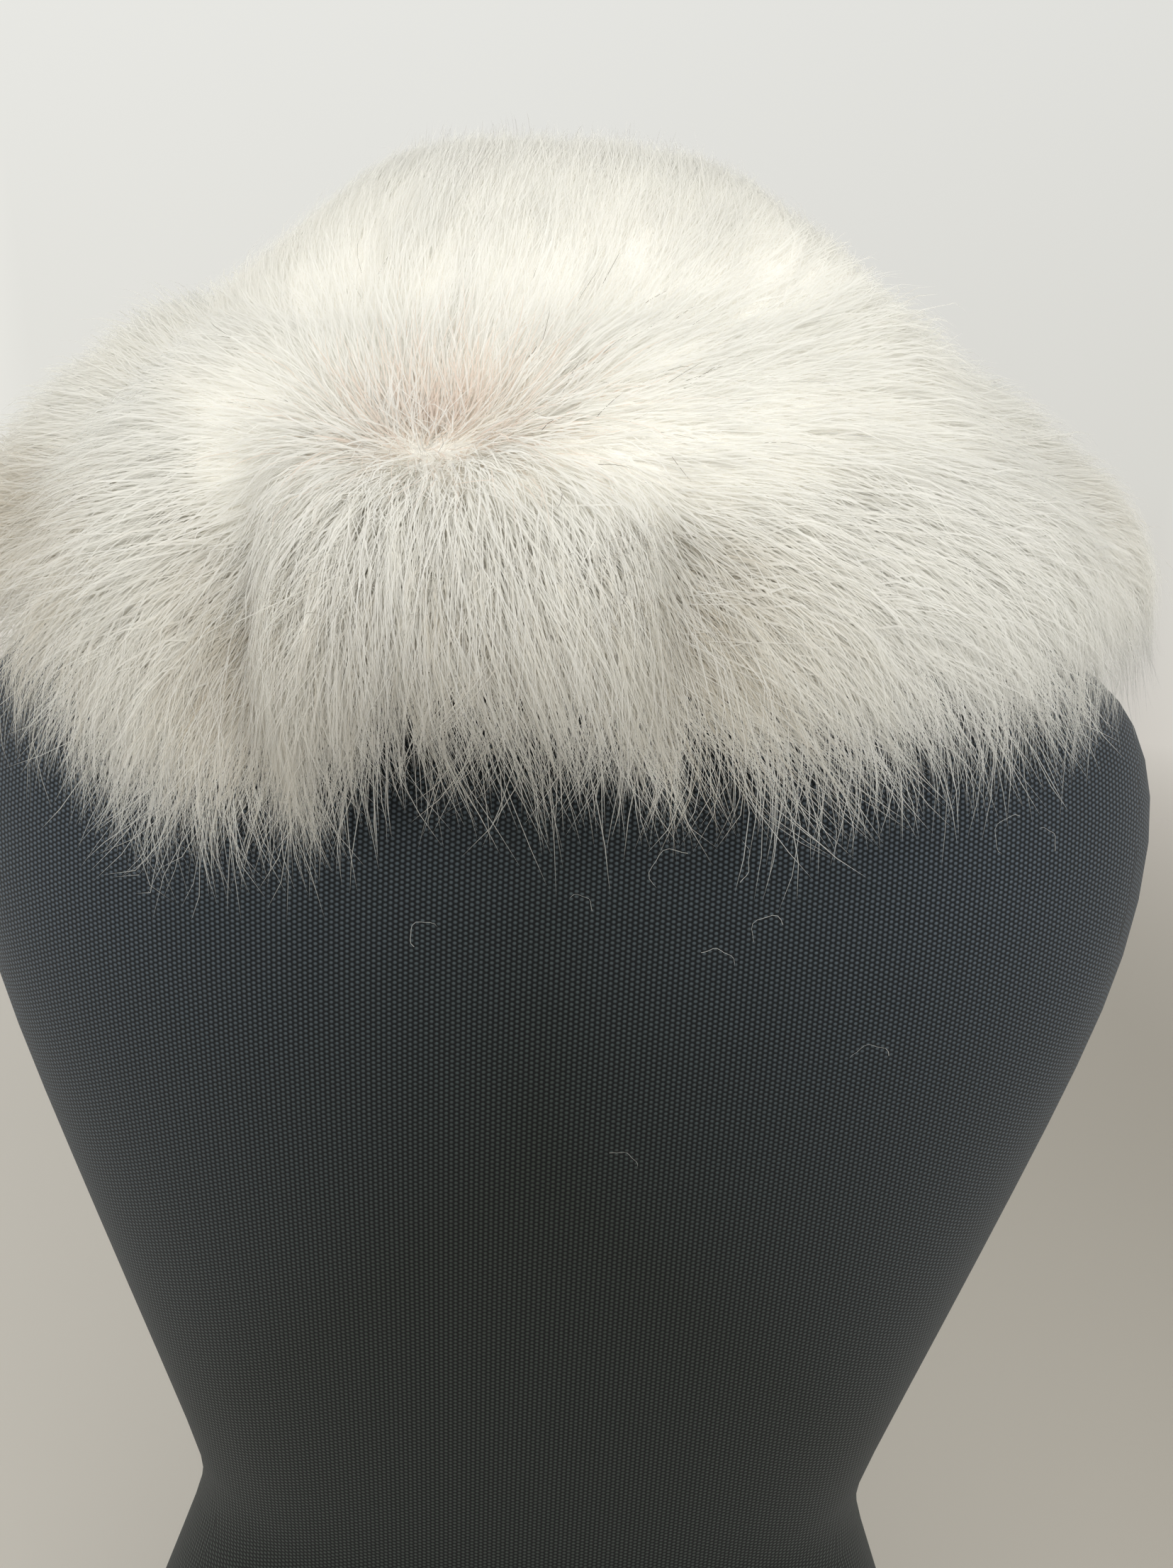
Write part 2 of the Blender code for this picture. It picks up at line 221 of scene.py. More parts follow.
# The colour follows the stitches' relief: painted shade in the hollows between loops and painted light on the
# loops.
painted_stitch_light = carry_over(tree, relief, RELIEF_TO_PAINTED_LIGHT)
# Painted light: high up and out to the sides the colours turn paler and bluer, as if more light fell there.
painted_light_reach = maths(tree, "MULTIPLY_ADD", z, PAINTED_LIGHT_HEIGHT_SHARE, maths(tree, "ABSOLUTE", x))
sideways = carry_over(tree, painted_light_reach, PAINTED_LIGHT_HIGH_AND_OUT)
dim = mix_colours(tree, sideways, JERSEY_HOLLOW_PAINTED_SHADE, JERSEY_SIDE_PAINTED_LIGHT_HOLLOW_SHADE)
lit = mix_colours(tree, sideways, JERSEY_LOOP_PAINTED_LIGHT, JERSEY_SIDE_PAINTED_LIGHT_LOOPS)
knit = mix_colours(tree, painted_stitch_light, dim, lit)
lay_surface(tree, shader, knit, relief, 0.5, 0.0005)
set_inputs(shader, Roughness=0.9, Specular_IOR_Level=0.25, Sheen_Weight=0.12, Sheen_Roughness=0.5)
torso.data.materials.append(jersey)
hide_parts("form_body")
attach(torso, "root")

# Pelt leather
# Two fox pelts, each tanned to a soft suede about 1.6 mm thick, sewn head to head at the back of the neck.
# The flesh side lies on the form and the hair grows from the other.

suede, tree, shader = new_material("cream_tanned_suede")
place = add_node(tree, "ShaderNodeTexCoord").outputs["Object"]
hide = mix_colours(tree, noise(tree, place, 22.0, 3.0), "#DCCEB8", "#F0E7DA")
lay_surface(tree, shader, hide, noise(tree, place, 420.0, 4.0), 0.35, 0.0004)
set_inputs(shader, Roughness=0.88, Sheen_Weight=0.2)

leathers = {}
for word in ("left", "right"):
    leather = copy_node("leather_" + word, "pelt_leather_" + word)
    bpy.ops.object.shade_smooth()
    leather.data.materials.append(suede)
    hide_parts("leather_" + word)
    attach(leather, "root")
    leathers[word] = leather

# Underfur
# The dense wool at the roots of each pelt's hair, a deep soft mass that no light gets through.
# It lies on the leather and follows the same sections as the solid pile.

SEAM_TURN = math.radians(12)
SLIP = 0.006
LEATHER_AND_GAP = 0.0020
CLEARANCE = 0.0025
SETTLED = 0.0019
FRONT_ROUND = 158.0
PILE_END = 179.0

# Each station is a distance from the neck axis and a height, in millimetres.
Section = namedtuple("Section", "angle crest top bend middle edge tip full")
SECTIONS = [
    Section(0, (47, 731), (61, 698), (66, 664), (83, 632), (102, 598), (112, 565), 1.00),
    Section(30, (47, 731), (61, 698), (67, 664), (92, 632), (115, 600), (126, 565), 1.01),
    Section(60, (47, 730), (62, 698), (71, 664), (107, 633), (141, 609), (161, 576), 1.01),
    Section(90, (47, 728), (62, 696), (74, 661), (118, 633), (155, 616), (184, 600), 1.00),
    Section(115, (54, 722), (66, 689), (78, 650), (116, 616), (149, 587), (170, 552), 0.97),
    Section(135, (64, 712), (73, 679), (82, 636), (105, 588), (139, 527), (154, 488), 0.94),
    Section(150, (70, 698), (76, 665), (84, 616), (109, 552), (148, 474), (155, 432), 0.92),
    Section(165, (73, 676), (79, 645), (86, 598), (105, 535), (126, 450), (131, 408), 0.90),
    Section(179, (74, 646), (79, 616), (86, 576), (104, 530), (119, 474), (124, 436), 0.88),
]
CREST, TOP, MIDDLE, EDGE, TIP = 0, 1, 3, 4, 5
PILE_DEPTHS = [0.012, 0.029, 0.046, 0.048, 0.039, 0.0025]
LEAST_DEPTH = 0.0025
DEEP_FOLD = 0.015
OWN_SLOPE_SHARE = 0.4
CREST_LIFT = 0.9
FRONT_EDGE_SHARE = 0.10

Hang = namedtuple("Hang", "angle left right")
HEM_HANG = [
    Hang(0, 0.000, 0.000),
    Hang(24, -0.020, 0.000),
    Hang(45, -0.012, -0.004),
    Hang(65, -0.012, 0.004),
    Hang(90, -0.010, 0.004),
    Hang(120, 0.000, 0.000),
    Hang(179, 0.000, 0.000),
]
HANG_BEND = 1.2

Fold = namedtuple("Fold", "side angle start end depth spread")
FOLDS = [
    Fold(1, 0, 2.6, 4.8, 0.006, 12.0),
    Fold(1, 19, 3.0, 4.9, -0.017, 5.0),
    Fold(1, 52, 1.6, 4.4, -0.008, 6.0),
    Fold(1, 75, 0.6, 4.0, 0.010, 14.0),
    Fold(1, 93, 1.2, 4.2, -0.009, 5.5),
    Fold(1, 124, 1.5, 4.5, -0.009, 5.0),
    Fold(1, 153, 2.0, 4.8, -0.008, 4.0),
    Fold(-1, 0, 2.6, 4.8, 0.006, 16.0),
    Fold(-1, 27, 3.0, 4.9, -0.018, 5.0),
    Fold(-1, 58, 0.6, 2.8, 0.009, 11.0),
    Fold(-1, 66, 2.2, 4.6, -0.007, 6.5),
    Fold(-1, 95, 1.2, 4.4, -0.009, 7.0),
    Fold(-1, 86, 2.8, 5.0, -0.007, 14.0),
    Fold(-1, 128, 1.5, 4.5, -0.009, 5.5),
    Fold(-1, 157, 2.0, 4.8, -0.008, 4.0),
]
PARTING_AT = 2.70
PARTING_DEPTH = 0.15
PARTING_SPREAD = (0.45, 11.0)

# The grid that a pelt's form is worked out on: one column to a degree, 20 rows to a station.
ANGLES = np.linspace(0, PILE_END, 180)
PLACES = np.linspace(CREST, TIP, 101)


def read_curve(knots, values, at):
    """A smooth curve through values, a row of them to each knot, read at every number of at."""
    knots, values, at = np.asarray(knots, float), np.asarray(values, float), np.asarray(at, float)
    order = np.arange(len(knots))
    after, before = np.minimum(order + 1, len(knots) - 1), np.maximum(order - 1, 0)
    apart = (knots[after] - knots[before]).reshape((-1,) + (1,) * (values.ndim - 1))
    slopes = (values[after] - values[before]) / apart
    i = np.clip(np.searchsorted(knots, at, side="right") - 1, 0, len(knots) - 2)
    span = (knots[i + 1] - knots[i]).reshape(at.shape + (1,) * (values.ndim - 1))
    t = ((at - knots[i]).reshape(span.shape)) / span
    start = values[i] * (2 * t**3 - 3 * t**2 + 1) + slopes[i] * span * (t**3 - 2 * t**2 + t)
    return start + values[i + 1] * (3 * t**2 - 2 * t**3) + slopes[i + 1] * span * (t**3 - t**2)


def meridians(side, places):
    """Distance from the neck axis and height, for each angle of the grid and each place."""
    stations = np.array([s[1:7] for s in SECTIONS]) / 1000
    at_angles = read_curve([s.angle for s in SECTIONS], stations, ANGLES)
    found = read_curve(range(6), at_angles.transpose(1, 0, 2), places).transpose(1, 0, 2)
    hangs = [h.left if side > 0 else h.right for h in HEM_HANG]
    hang = read_curve([h.angle for h in HEM_HANG], hangs, ANGLES)
    found[..., 1] += hang[:, None] * np.clip((places - MIDDLE) / (TIP - MIDDLE), 0, None) ** HANG_BEND
    return found


def unit(vectors):
    return vectors / np.maximum(np.linalg.norm(vectors, axis=-1, keepdims=True), 1e-12)


def slopes_of(points):
    """How a grid of points moves for one degree and for one place."""
    return np.gradient(points, ANGLES, axis=0), np.gradient(points, PLACES, axis=1)


def facing_of(points, side):
    along, down = slopes_of(points)
    return unit(np.cross(along, down) * side)


def fall(x, start, end):
    """0 at start and before, 1 at end and beyond, with a smooth step between."""
    t = np.clip((x - start) / (end - start), 0, 1)
    return t * t * (3 - 2 * t)


class Pelt:
    """The form of one pelt's pile: its inner face, its outer face and the way that its hair lies."""

    def __init__(self, side, form_tree):
        self.side = side
        turn = np.radians(ANGLES)
        world = side * turn + SEAM_TURN * (0.5 + 0.5 * np.cos(turn))
        spin = np.stack([np.sin(world), np.cos(world)], axis=-1)[:, None, :]
        section = meridians(side, PLACES)
        skin = np.concatenate([section[..., :1] * spin, section[..., 1:]], axis=-1)
        skin[..., 0] += SLIP * (0.5 + 0.5 * np.cos(turn))[:, None]
        for line in skin:
            for point in line:
                self.keep_clear(point, form_tree)
        skin[..., 2] -= SETTLED
        self.inner = skin + facing_of(skin, side) * LEATHER_AND_GAP
        depth, self.hollow = self.depth(side)
        self.outer = self.inner + self.lean(side, spin) * depth[..., None]
        self.facing = facing_of(self.outer, side)

    @staticmethod
    def keep_clear(point, form_tree):
        for _ in range(3):
            near, normal, _, _ = form_tree.find_nearest(point)
            clear = (Vector(point) - near).dot(normal)
            if clear >= CLEARANCE:
                break
            point += np.array(normal) * (CLEARANCE - clear)

    @staticmethod
    def lean(side, spin):
        """The way that the hair's mass stands off the leather, in the section's own plane."""

        def across(a, b):
            step = meridians(side, b) - meridians(side, a)
            return unit(np.stack([-step[..., 1], step[..., 0]], axis=-1))

        own = across(np.clip(PLACES - 0.25, CREST, TIP), np.clip(PLACES + 0.25, CREST, TIP))
        whole = across(np.full(1, float(TOP)), np.full(1, float(EDGE)))
        mixed = OWN_SLOPE_SHARE * own + (1 - OWN_SLOPE_SHARE) * whole
        mixed[..., 1] += CREST_LIFT * np.clip(TOP - PLACES, 0, None) ** 2
        mixed = unit(mixed)
        return np.concatenate([mixed[..., :1] * spin, mixed[..., 1:]], axis=-1)

    @staticmethod
    def depth(side):
        """How far the hair stands off the leather, with its rounded front edge, its parting and its folds."""
        full = read_curve([s.angle for s in SECTIONS], [s.full for s in SECTIONS], ANGLES)
        past_round = np.clip(ANGLES - FRONT_ROUND, 0, None) / (PILE_END - FRONT_ROUND)
        rounded = np.sqrt(np.clip(1 - past_round**2, 0, 1))
        full *= FRONT_EDGE_SHARE + (1 - FRONT_EDGE_SHARE) * rounded
        depth = full[:, None] * read_curve(range(6), PILE_DEPTHS, PLACES)
        down, along = (PLACES - PARTING_AT) / PARTING_SPREAD[0], ANGLES[:, None] / PARTING_SPREAD[1]
        depth *= 1 - PARTING_DEPTH * np.exp(-(down**2 + along**2))
        folded = np.zeros_like(depth)
        for fold in FOLDS:
            if fold.side == side:
                along = np.sin(math.pi * np.clip((PLACES - fold.start) / (fold.end - fold.start), 0, 1))
                folded += fold.depth * along * np.exp(-(((ANGLES[:, None] - fold.angle) / fold.spread) ** 2))
        return np.maximum(depth + folded, LEAST_DEPTH), np.clip(-folded / DEEP_FOLD, 0, 1)[..., None]


def tree_of(mesh):
    """A search tree of a mesh's faces."""
    return BVHTree.FromPolygons([v.co for v in mesh.vertices], [p.vertices for p in mesh.polygons])


form_tree = tree_of(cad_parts["form_body"].data)
pelts = {"left": Pelt(1, form_tree), "right": Pelt(-1, form_tree)}


def read_grid(grid, at):
    """The grid's value at each angle and place, run on past its edges in a straight line."""
    column = at[:, 0] / (ANGLES[1] - ANGLES[0])
    row = at[:, 1] / (PLACES[1] - PLACES[0])
    c = np.clip(np.floor(column).astype(int), 0, len(ANGLES) - 2)
    r = np.clip(np.floor(row).astype(int), 0, len(PLACES) - 2)
    u, v = (column - c)[:, None], (row - r)[:, None]
    upper = grid[c, r] * (1 - u) + grid[c + 1, r] * u
    lower = grid[c, r + 1] * (1 - u) + grid[c + 1, r + 1] * u
    return upper * (1 - v) + lower * v


UNDERFUR_SHARE = 0.92
UNDERFUR_AT_PARTING = 0.03
UNDERFUR_AT_HEM = 0.40
UNDERFUR_IN_FOLDS = 0.14
UNDERFUR_AT_THIN_HEM = 0.42
UNDERFUR_COLUMNS = np.linspace(0, 177.5, 61)
UNDERFUR_ROWS = np.concatenate([np.arange(0.25, 3.1, 0.25), [3.2, 3.4, 3.55, 3.7, 3.8, 3.9]])
TO_THIN_HEM = (2.8, 3.6)
THIN_HEM = (26.0, 33.0, 74.0, 92.0)

wool, tree, shader = new_material("fox_underfur")
place = add_node(tree, "ShaderNodeTexCoord").outputs["Object"]
tufts = noise(tree, place, 260.0, 4.0)
lay_surface(tree, shader, mix_colours(tree, tufts, "#ECE8DE", "#FBFAF6"), tufts, 0.8, 0.0015)
set_inputs(shader, Roughness=0.95, Sheen_Weight=0.3)


def thin_hem(pelt, angle):
    """The stretch of the left hem where the coat is thin and the jersey shows through it."""
    if pelt.side < 0:
        return np.zeros_like(angle)
    return fall(angle, THIN_HEM[0], THIN_HEM[1]) * (1 - fall(angle, THIN_HEM[2], THIN_HEM[3]))


for word, pelt in pelts.items():
    at = np.array([(a, p) for p in UNDERFUR_ROWS for a in UNDERFUR_COLUMNS])
    near, far = read_grid(pelt.inner, at), read_grid(pelt.outer, at)
    at_parting = np.exp(-(((at[:, 1] - 2.8) / 0.6) ** 2 + (at[:, 0] / 16) ** 2))
    thinned = UNDERFUR_AT_HEM * fall(at[:, 1], 3.2, 3.9)
    thinned += UNDERFUR_IN_FOLDS * read_grid(pelt.hollow, at)[:, 0]
    thinned += UNDERFUR_AT_THIN_HEM * thin_hem(pelt, at[:, 0]) * fall(at[:, 1], *TO_THIN_HEM)
    middle = near + (far - near) * (UNDERFUR_SHARE + UNDERFUR_AT_PARTING * at_parting - thinned)[:, None]
    width, count = len(UNDERFUR_COLUMNS), len(at)
    bm = bmesh.new()
    corners = [bm.verts.new(p) for p in np.concatenate([near + (far - near) * 0.02, middle])]
    for sheet in (0, count):
        for r in range(len(UNDERFUR_ROWS) - 1):
            for c in range(width - 1):
                k = sheet + r * width + c
                bm.faces.new((corners[k], corners[k + 1], corners[k + width + 1], corners[k + width]))
    rim = [*range(width)] + [r * width + width - 1 for r in range(1, len(UNDERFUR_ROWS))]
    rim += [count - 1 - c for c in range(1, width)]
    rim += [r * width for r in range(len(UNDERFUR_ROWS) - 2, 0, -1)]
    for a, b in zip(rim, rim[1:] + rim[:1]):
        bm.faces.new((corners[a], corners[b], corners[b + count], corners[a + count]))
    bmesh.ops.recalc_face_normals(bm, faces=bm.faces)
    mesh = bpy.data.meshes.new("underfur_" + word)
    bm.to_mesh(mesh)
    bm.free()
    mesh.shade_smooth()
    mesh.materials.append(wool)
    underfur = bpy.data.objects.new("underfur_" + word, mesh)
    bpy.context.scene.collection.objects.link(underfur)
    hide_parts("fur_" + word)
    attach(underfur, "root")

# Fox hair
# White fox has a thick coat of fine undercoat hair and longer, stiffer guard hairs that shine a little.
# It grows away from the parting at the seam, up to the crest, out over the shoulders and down to the hem.

# Pairs that start with TO or FROM say where a change over the pelt starts and where it is complete, in
# degrees round the neck or in places down the section, and those that start with NEAR give it in metres.

HAIR_PARTS_AT = 2.95
PARTING_BEND = 0.30
PARTING_HALF = 12.0
TOUSLED = 0.25
LOBE_EDGE = {1: 19.0, -1: 27.0}
LOBE_COMB = {1: 12.0, -1: 25.0}
HEM_REACH = {
    "left": ((0, 18, 25, 29, 34, 42, 80, 100), (-0.24, -0.20, 0.12, 0.02, -0.24, -0.42, -0.42, -0.05)),
    "right": ((0, 24, 36, 60, 100), (-0.24, -0.22, -0.12, -0.02, 0.0)),
}
FRONT_FLARE = 0.012
CREST_REACH = 0.12
LEAST_CUT = 0.15
GOLDEN_SHARE = 0.6180339887
SHORTEST_SHARE = 0.40
TO_FRONT = (95, 150)
TO_FRONT_EDGE = (156, 175)
TO_FRONT_FLARE = (160, 176)
FROM_LOBE = (12, 45)
TO_CREST = (1.7, 0.7)
TO_ABOVE_PARTING = (2.4, 1.8)
TO_BELOW_PARTING = (2.3, 3.0)
TO_FRONT_HANG = (1.2, 2.2)
TO_HEM = (3.7, 4.7)
NEAR_PARTING = (0.030, 0.005)
NEAR_ROOTS_HIGH = (0.032, 0.006)
NEAR_TOUSLED = (0.026, 0.004)
NEAR_WHORL = (0.010, 0.002)
FRONT_LEAN = 0.32
LOBE_LATE = 0.75
STRAY_SHARE = 0.05
PINK_SHARE = 0.55
PINK_AT = (-2.0, 7.5, 2.80, 0.20)
PINK_TONES = (0.745, 0.80)
LIGHT_TONES = (0.02, 0.69)
DARK_HAIRS = {"left": 10, "right": 34}
HAIR_LETS_THROUGH = 0.58
# The ramp's low, greyer stops are painted shade, for hair in the folds, under the lobe, at the hem and where
# the coat is thin.
HAIR_TONES = [
    (0.00, "#A8997F"),
    (0.18, "#D6CEBF"),
    (0.34, "#EFECE5"),
    (0.50, "#FAF9F5"),
    (0.70, "#FFFFFD"),
    (0.74, "#F4E8DF"),
    (0.84, "#F9F4EE"),
    (0.88, "#5A5148"),
    (1.00, "#3A352F"),
]

# The map's first coordinate holds each hair's tone and its second runs from root to tip.
fox, tree, shader = new_material("white_fox_hair")
hair_map = add_node(tree, "ShaderNodeUVMap", {"uv_map": "OFBake"}).outputs["UV"]
tone_at, flow_at, _ = add_node(tree, "ShaderNodeSeparateXYZ", _0=hair_map).outputs
tones = colour_ramp(tree, tone_at, HAIR_TONES)
root_share = carry_over(tree, flow_at, (0.0, 0.5), (0.22, 0.0))
hair_colour = mix_colours(tree, root_share, tones, "#E9E3D8", "MULTIPLY")
tree.links.new(hair_colour, shader.inputs["Base Color"])
set_inputs(shader, Roughness=0.7, Specular_IOR_Level=0.12)
glow = add_node(tree, "ShaderNodeBsdfTranslucent", _0=hair_colour).outputs[0]
hair_wall = add_node(tree, "ShaderNodeMixShader", {"0": HAIR_LETS_THROUGH}, _1=shader.outputs[0], _2=glow)
tree.links.new(hair_wall.outputs[0], tree.nodes["Material Output"].inputs["Surface"])


def parting_source(at):
    """The nearest point of the parting, as an angle and a place."""
    angle = np.clip(at[:, 0] * 0.55, 0, PARTING_HALF * 0.6)
    return np.stack([angle, HAIR_PARTS_AT - PARTING_BEND * (angle / PARTING_HALF) ** 2], axis=-1)


def comb_pelt(pelt):
    """Works out, over the pelt's outer face, which way its hair lies and how far it is from the parting.

    The directions are in degrees and places for each metre.
    """
    shape = pelt.outer.shape
    angle, place = (m.ravel() for m in np.meshgrid(ANGLES, PLACES, indexing="ij"))
    source = read_grid(pelt.outer, parting_source(np.stack([angle, place], axis=-1)))
    from_parting = pelt.outer.reshape(-1, 3) - source
    away = unit(from_parting)
    front = fall(angle, *TO_FRONT)
    up = 0.95 * fall(place, *TO_CREST) + 0.30 * fall(place, *TO_ABOVE_PARTING) * (1 - front)
    lobe = 1 - fall(angle, LOBE_COMB[pelt.side] - 8, LOBE_COMB[pelt.side] + 8)
    late = LOBE_LATE * (1 - fall(angle, *FROM_LOBE))
    back_down = fall(place - late, *TO_BELOW_PARTING) * (0.32 + 0.28 * lobe + 0.75 * fall(place, *TO_HEM))
    down = back_down + 0.7 * front * fall(place, *TO_FRONT_HANG)
    wanted = away * (1 - 0.45 * front)[:, None] + np.outer(up - down, (0, 0, 1))
    wanted[:, 0] -= pelt.side * FRONT_LEAN * fall(angle, *TO_FRONT_EDGE)
    facing = pelt.facing.reshape(-1, 3)
    lie = unit(wanted - facing * (wanted * facing).sum(-1, keepdims=True))
    side_lie = np.cross(facing, lie)
    along, across = (s.reshape(-1, 3) for s in slopes_of(pelt.outer))
    aa, ab, bb = (along * along).sum(-1), (along * across).sum(-1), (across * across).sum(-1)
    det = np.maximum(aa * bb - ab * ab, 1e-14)
    moves = []
    for direction in (lie, side_lie):
        da, db = (direction * along).sum(-1), (direction * across).sum(-1)
        move = np.stack([(bb * da - ab * db) / det, (aa * db - ab * da) / det], axis=-1)
        moves.append(move.reshape(*shape[:2], 2))
    pelt.lie, pelt.side_lie = moves
    pelt.area = np.sqrt(det).reshape(shape[:2])
    pelt.parting_gap = np.linalg.norm(from_parting, axis=-1).reshape(*shape[:2], 1)


def short_share(gap):
    """Hair is short at the parting and full a few centimetres from it."""
    return SHORTEST_SHARE + (1 - SHORTEST_SHARE) * fall(gap, 0.003, 0.030)


def scatter(pelt, count, density, chance):
    """Angles and places spread evenly over the pelt's outer face, thinned by a density of angle and place."""
    angle, place = np.meshgrid(ANGLES, PLACES, indexing="ij")
    weight = pelt.area * density(pelt, angle, place)
    by_column = np.cumsum(weight.sum(1))
    steps = (np.arange(count) + 0.5) / count
    column = np.interp(steps * by_column[-1], by_column, np.arange(len(ANGLES)))
    inside = np.cumsum(weight, axis=1)
    golden = (np.arange(count) * GOLDEN_SHARE + chance.uniform()) % 1.0
    c = np.clip(np.round(column).astype(int), 0, len(ANGLES) - 1)
    places = np.empty(count)
    for k in range(len(ANGLES)):
        mine = c == k
        places[mine] = np.interp(golden[mine] * inside[k, -1], inside[k], PLACES)
    return np.stack([column * (ANGLES[1] - ANGLES[0]), places], axis=-1)


def on_pelt(at):
    """Angles and places held within the pelt."""
    return np.clip(at, (0, 0), (PILE_END, TIP))


def step_off(pelt, at, along, across):
    """Moves places on the pelt by metres along and across the lie of the hair."""
    inside = on_pelt(at)
    forward, sideways = read_grid(pelt.lie, inside), read_grid(pelt.side_lie, inside)
    return at + forward * along[:, None] + sideways * across[:, None]


def trail(pelt, at, length, sway, bend, reach, shares):
    """Where each hair passes over the pelt, as angles and places at its shares of length."""
    track = [at]
    here = at.copy()
    for before, after in zip(shares, shares[1:]):
        turn = sway + bend * (before + after) / 2
        step = length * (after - before)
        here = step_off(pelt, here, step * np.cos(turn), step * np.sin(turn))
        track.append(here.copy())
    track = np.stack(track, axis=1)
    start, end = track[:, 0, 1], track[:, -1, 1]
    grown = np.where(np.abs(end - start) > 1e-6, end - start, 1e-6)
    cut = np.where(end > reach, np.clip((reach - start) / grown, LEAST_CUT, 1.0), 1.0)
    cut = np.where(end < CREST_REACH, np.clip((CREST_REACH - start) / grown, LEAST_CUT, 1.0), cut)
    return track[:, :1] + (track - track[:, :1]) * cut[:, None, None]


RISE_POWER = 1.7
PULL_POWER = 1.5


def stand(pelt, track, low, high, wisp, shares):
    """The world points of each hair: it rises from low to high in the pile, and wisps stand beyond it."""
    n, k = track.shape[:2]
    flat = track.reshape(-1, 2)
    inner, outer = read_grid(pelt.inner, flat), read_grid(pelt.outer, flat)
    facing = unit(read_grid(pelt.facing, on_pelt(flat)))
    rise = 1 - (1 - np.asarray(shares)) ** RISE_POWER
    height = (low[:, None] + (high - low)[:, None] * rise[None, :]).reshape(-1, 1)
    out = (wisp[:, None] * np.asarray(shares)[None, :] ** 2).reshape(-1, 1)
    points = inner + (outer - inner) * height + facing * out
    return points.reshape(n, k, 3), facing.reshape(n, k, 3)


def gather(points, guides, pull, shares):
    """Draws hairs towards their guides, more so at the tips."""
    share = (pull[:, None] * np.asarray(shares)[None, :] ** PULL_POWER)[..., None]
    return points + (guides - points) * share


RIBBON_TILT = 0.28
TIP_WIDTH = 0.45
NORMAL_SPREAD = 0.035
HALF_ON_MAP = 0.004


def make_ribbons(name, points, facing, width, tone, chance):
    """One mesh of flat tapering hairs, each a ribbon that ends in a point."""
    n, k = points.shape[:2]
    run = unit(np.gradient(points, axis=1))
    tilt = unit(facing + chance.normal(0, RIBBON_TILT, (n, 1, 3)))
    across = unit(np.cross(run, tilt))
    half = (width[:, None] * np.linspace(1.0, TIP_WIDTH, k)[None, :] / 2)[..., None]
    left, right = points - across * half, points + across * half
    per = 2 * (k - 1) + 1
    verts = np.empty((n, per, 3))
    verts[:, 0:-1:2], verts[:, 1:-1:2] = left[:, :-1], right[:, :-1]
    verts[:, -1] = points[:, -1]
    own = np.cross(across, run)
    bent = unit(0.90 * facing + 0.10 * own + chance.normal(0, NORMAL_SPREAD, (n, 1, 3)))
    normals = np.empty((n, per, 3))
    normals[:, 0:-1:2], normals[:, 1:-1:2], normals[:, -1] = bent[:, :-1], bent[:, :-1], bent[:, -1]
    base = (np.arange(n) * per)[:, None]
    steps = [2 * j + np.array([0, 1, 3, 2]) for j in range(k - 2)]
    quads = np.concatenate([base + step for step in steps], axis=1)
    loops = np.concatenate([quads, base + np.array([per - 3, per - 2, per - 1])], axis=1)
    sizes = np.tile(np.array([4] * (k - 2) + [3]), n)
    mesh = bpy.data.meshes.new(name)
    mesh.vertices.add(n * per)
    mesh.vertices.foreach_set("co", verts.astype(np.float32).ravel())
    mesh.loops.add(loops.size)
    mesh.loops.foreach_set("vertex_index", loops.astype(np.int32).ravel())
    mesh.polygons.add(len(sizes))
    mesh.polygons.foreach_set("loop_start", np.concatenate([[0], np.cumsum(sizes)[:-1]]).astype(np.int32))
    mesh.update(calc_edges=True)
    mesh.shade_smooth()
    flow = np.linspace(0.01, 0.99, k)
    corner_v = np.concatenate([np.repeat(flow[:-1], 2), [flow[-1]]])
    corner_u = np.concatenate([np.tile([-HALF_ON_MAP, HALF_ON_MAP], k - 1), [0.0]])
    uv = np.empty((n, per, 2))
    uv[..., 0], uv[..., 1] = tone[:, None] + corner_u[None, :], corner_v[None, :]
    layer = mesh.uv_layers.new(name="OFBake")
    layer.data.foreach_set("uv", uv.reshape(-1, 2)[loops.ravel()].astype(np.float32).ravel())
    mesh.normals_split_custom_set_from_vertices(normals.reshape(-1, 3).astype(np.float32))
    mesh.materials.append(fox)
    hair = bpy.data.objects.new(name, mesh)
    bpy.context.scene.collection.objects.link(hair)
    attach(hair, "root")
    return hair


LOCKS = 2200
TUFTS_PER_LOCK = 9
COARSE_SHARES = [0, 0.36, 0.70, 1.0]
FINE_SHARES = [0, 0.26, 0.52, 0.78, 1.0]
